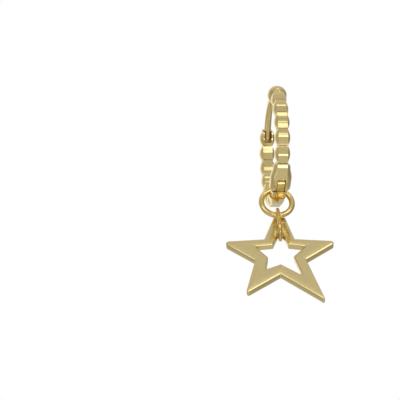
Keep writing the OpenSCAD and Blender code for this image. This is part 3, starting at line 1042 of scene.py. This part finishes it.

# %% [markdown]
# ## Each piece joins its body
#
# The earring has three joints: the hinge, the ring's turn and the charm's swing. Every piece rides
# on the body that carries it, as the child of that body's empty, and stands for one measured solid,
# which is then hidden.

# %% Ride and replace
PIECES = (
    (front_arm, "front", "front_arm", "hoop_gold", hoop_gold),
    (hinge_pin, "front", "hinge_pin", "pin_gold", pin_gold),
    (back_arm, "back", "back_arm", "hoop_gold", hoop_gold),
    (jump_ring, "ring", "jump_ring", "ring_gold", ring_gold),
    (link, "charm", "link", "link_gold", link_gold),
    (star, "charm", "star", "star_gold", star_gold),
)
for obj, body, node, slot_name, material in PIECES:
    obj.data.materials.append(material)
    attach(obj, body)
    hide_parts(node)
    print(obj.name, "rides on", body)

# %% [markdown]
# ## A pale floor
#
# A sheet of pale paper lies well below the earring, so the camera can look up from above it. The
# gold would show it as one flat grey patch. A photographer keeps it out of the reflections by
# distance. Here it is made invisible to them, so the gold shows only the tent that comes next.

# %% Floor
FLOOR_Z, FLOOR_HALF = -260.0, 3000.0
FLOOR_COLOR, FLOOR_ROUGHNESS = (0.92, 0.92, 0.91, 1), 0.8


def pale_floor():
    corners = [Vector((x * FLOOR_HALF, y * FLOOR_HALF, FLOOR_Z))
               for x, y in ((-1, -1), (1, -1), (1, 1), (-1, 1))]
    floor = mesh_object("floor", corners, [(0, 1, 2, 3)])
    material = bpy.data.materials.new("floor paper")
    material.use_nodes = True
    shader = material.node_tree.nodes["Principled BSDF"]
    shader.inputs["Base Color"].default_value = FLOOR_COLOR
    shader.inputs["Roughness"].default_value = FLOOR_ROUGHNESS
    floor.data.materials.append(material)
    floor.visible_glossy = False
    return floor


floor = pale_floor()

# %% [markdown]
# ## A light tent
#
# Small jewellery is photographed in a tent of white cloth, and what the gold shows is the tent.
# Area lights could stand round the earring, but their highlights are hard to place on metal that
# curves two ways. So the tent itself is drawn, by two directions that suit a hoop seen
# edge-on: the turn round the left-right axis, with 0 at the front, 90 above and -90 below, and the
# lean to the side, from -1 at the left to 1 at the right. The cloth is soft grey, a little brighter
# above than in front, and its right side is left dark, which draws the thin dark outlines.

# %% Directions and cloth
TENT_TURN = ((-180, 0.58), (-140, 0.58), (-110, 0.62), (-85, 0.62), (-40, 0.61), (0, 0.55),
             (30, 0.56), (54, 0.585), (90, 0.70), (120, 0.72), (155, 0.72), (180, 0.58))
TENT_SIDE = ((-1.0, 0.72), (-0.86, 0.66), (-0.72, 0.75), (-0.5, 0.95), (0.0, 1.0), (0.5, 0.95),
             (0.72, 0.68), (0.88, 0.52), (1.0, 0.52))

world = bpy.data.worlds.new("light tent")
bpy.context.scene.world = world
world.use_nodes = True
tent = world.node_tree
tent.nodes.clear()


def brightness(value, stops):
    """A brightness read from a table of stops, with straight lines between them."""
    low, high = stops[0][0], stops[-1][0]
    share = math_step(tent, "MULTIPLY_ADD", value, 1 / (high - low), -low / (high - low))
    node = add_node(tent, "ShaderNodeValToRGB", {"Fac": share})
    elements = node.color_ramp.elements
    elements.remove(elements[1])
    for k, (where, light) in enumerate(stops):
        at = (where - low) / (high - low)
        stop = elements.new(at) if k else elements[0]
        stop.position, stop.color = at, (light, light, light, 1)
    return node.outputs["Color"]


way = add_node(tent, "ShaderNodeSeparateXYZ",
               {"Vector": tent.nodes.new("ShaderNodeTexCoord").outputs["Generated"]})
lean = way.outputs["X"]
ahead = math_step(tent, "MULTIPLY", way.outputs["Y"], -1.0)
turn = math_step(tent, "MULTIPLY", math_step(tent, "ARCTAN2", way.outputs["Z"], ahead),
                 180 / math.pi)
cloth = math_step(tent, "MULTIPLY", brightness(turn, TENT_TURN), brightness(lean, TENT_SIDE))
print("the cloth has", len(TENT_TURN), "stops over its turn and", len(TENT_SIDE), "over its lean")

# %% [markdown]
# ## Strips, windows and a flag
#
# Narrow strips of light above and below make the bar on every bead, and where a strip stands
# decides where its bar lies. Two windows at the front make the bright line on the star's edges, and
# two faint glows and a flag, which takes light away, even out what comes from behind. They could be
# glowing planes, but as soft-edged patches added to the cloth each is one row of a table.

# %% Strips of light
TENT_PANELS = (  # lean, half lean, turn, half turn, light
    (0.10, 0.22, -57, 2, 2.8),
    (0.10, 0.22, -20, 1.8, 1.9),
    (0.10, 0.22, -13, 1, 1.8),
    (0.10, 0.22, -3.5, 1.5, 1.1),
    (0.10, 0.22, 40, 3, 1.3),
    (-0.50, 0.18, 3, 13, 1.2),
    (0.50, 0.18, 3, 13, 1.2),
    (-0.40, 0.30, 140, 25, 0.35),
    (0.60, 0.35, 140, 30, -0.1),
    (-0.80, 0.15, -107, 14, 0.3),
)
FADE_LEAN, FADE_TURN = 0.05, 1.5


def near(value, middle, half, fade):
    """1 within half of the middle, and smoothly 0 beyond the fade."""
    away = math_step(tent, "ABSOLUTE", math_step(tent, "SUBTRACT", value, middle))
    sockets = {"Value": away, "From Min": half + fade, "From Max": half}
    return add_node(tent, "ShaderNodeMapRange", sockets,
                    interpolation_type="SMOOTHSTEP").outputs["Result"]


for at_lean, half_lean, at_turn, half_turn, light in TENT_PANELS:
    patch = math_step(tent, "MULTIPLY", near(lean, at_lean, half_lean, FADE_LEAN),
                      near(turn, at_turn, half_turn, FADE_TURN))
    cloth = math_step(tent, "MULTIPLY_ADD", patch, light, cloth)
print("the tent has", len(TENT_PANELS), "strips, windows and flags")

# %% [markdown]
# ## White behind the earring
#
# The photograph is plain white behind the earring, and a grey tent can't be. A white card would do,
# but it would show in the gold. So the camera's own rays see white, and every other ray sees the
# tent. The Standard view keeps the white white and the gold's contrast plain.

# %% Backdrop and view
room = add_node(tent, "ShaderNodeBackground", {"Color": (1, 1, 1, 1), "Strength": cloth})
paper = add_node(tent, "ShaderNodeBackground", {"Color": (1, 1, 1, 1)})
path = tent.nodes.new("ShaderNodeLightPath")
seen = add_node(tent, "ShaderNodeMixShader",
                {"Fac": path.outputs["Is Camera Ray"], 1: room.outputs["Background"],
                 2: paper.outputs["Background"]})
add_node(tent, "ShaderNodeOutputWorld", {"Surface": seen.outputs["Shader"]})

view = bpy.context.scene.view_settings
view.view_transform = "Standard"
view.look = "None"
print("the world has", len(tent.nodes), "nodes, seen with the", view.view_transform, "view")
